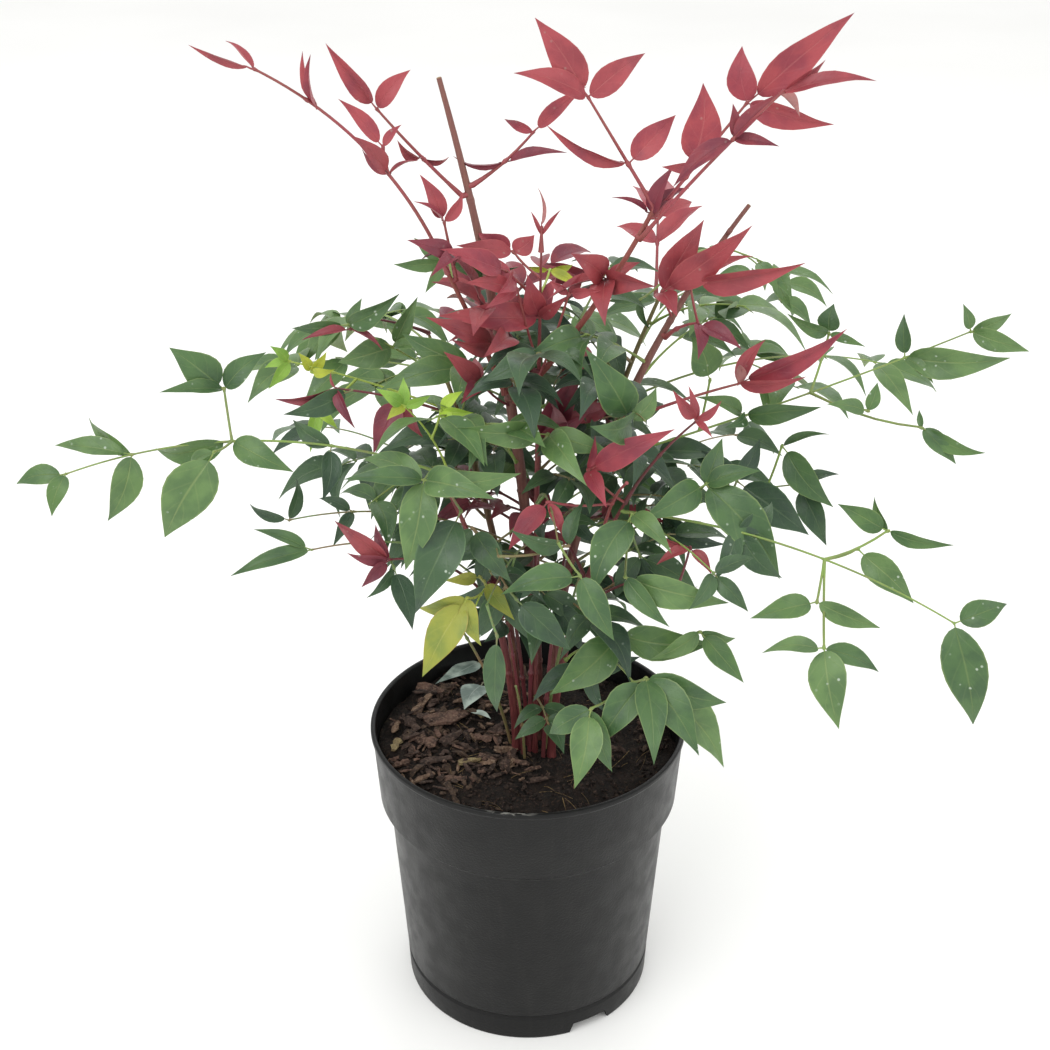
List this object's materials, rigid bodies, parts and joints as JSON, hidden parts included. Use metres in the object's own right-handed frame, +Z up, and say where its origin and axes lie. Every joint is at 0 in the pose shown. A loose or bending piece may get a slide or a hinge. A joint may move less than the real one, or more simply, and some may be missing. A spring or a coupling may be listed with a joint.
{
  "type": "potted heavenly bamboo shrub",
  "caption": "Evergreen shrub of slender upright canes with airy, divided green and crimson foliage, growing in a round black nursery pot.",
  "frame": {"origin": "centre of the pot's flat underside, on the surface it stands on", "axes": "+Z up the pot's axis, -Y towards the viewer's side of the picture, +X to the viewer's right"},
  "size_m": [0.543, 0.3836, 0.6087],
  "materials": {
    "black_plastic": "moulded black polypropylene, satin with a paler scuffed rim",
    "compost": "damp dark compost with bark chips and fibres",
    "cane": "smooth woody cane, red brown with pale cork flecks",
    "leaf_green": "leathery leaflet, mid green, soft sheen",
    "leaf_deep": "leathery leaflet, dark blue green with pale water spots",
    "leaf_lime": "young or ageing leaflet, lime to yellow green",
    "leaf_red": "young leaflet, dusty crimson",
    "leaf_wine": "young leaflet in shade, wine red"
  },
  "bodies": {
    "root": {"pot": "black_plastic", "compost": "compost", "cane_tall": "cane", "cane_right": "cane", "cane_centre": "cane", "cane_back_right": "cane", "cane_back_left": "cane", "cane_front_left": "cane", "cane_front_right": "cane", "cane_back": "cane", "bough_right": "cane", "bough_left": "cane", "red_shoot_left": "leaf_red", "red_sprig_left": "leaf_red", "red_top_left": "leaf_red", "red_top_mid": "leaf_red", "red_crown_left": "leaf_red", "red_crown_mid": "leaf_red", "red_crown_right": "leaf_red", "red_bud": "leaf_red", "red_centre_left": "leaf_red", "red_centre_low": "leaf_wine", "red_centre_right": "leaf_wine", "red_mid_right": "leaf_red", "red_side_right": "leaf_red", "red_young_front": "leaf_wine", "red_inner_front": "leaf_red", "red_low_front": "leaf_wine", "red_low_left": "leaf_wine", "red_side_left": "leaf_wine", "red_high_left": "leaf_wine", "green_long_left": "leaf_green", "green_high_right": "leaf_green", "green_low_right": "leaf_green", "green_trio_left": "leaf_green", "lime_left": "leaf_lime", "lime_front": "leaf_lime", "green_low_left": "leaf_deep", "green_front_left": "leaf_green", "green_front_mid": "leaf_deep", "lime_front_low": "leaf_lime", "deep_right": "leaf_deep", "green_over_pot": "leaf_green", "deep_front_high": "leaf_deep", "green_front_right": "leaf_green", "deep_front_left": "leaf_deep", "deep_left": "leaf_deep", "green_long_back": "leaf_green", "green_back_left": "leaf_green", "green_back_right": "leaf_green", "deep_back_left": "leaf_deep", "deep_back_right": "leaf_deep", "deep_back": "leaf_deep", "green_side_right": "leaf_green", "green_side_left": "leaf_green", "red_back_right": "leaf_red", "red_back_top": "leaf_wine", "green_mid_left": "leaf_green", "green_mid_right": "leaf_deep", "deep_pot_front": "leaf_deep"}
  },
  "joints": []
}
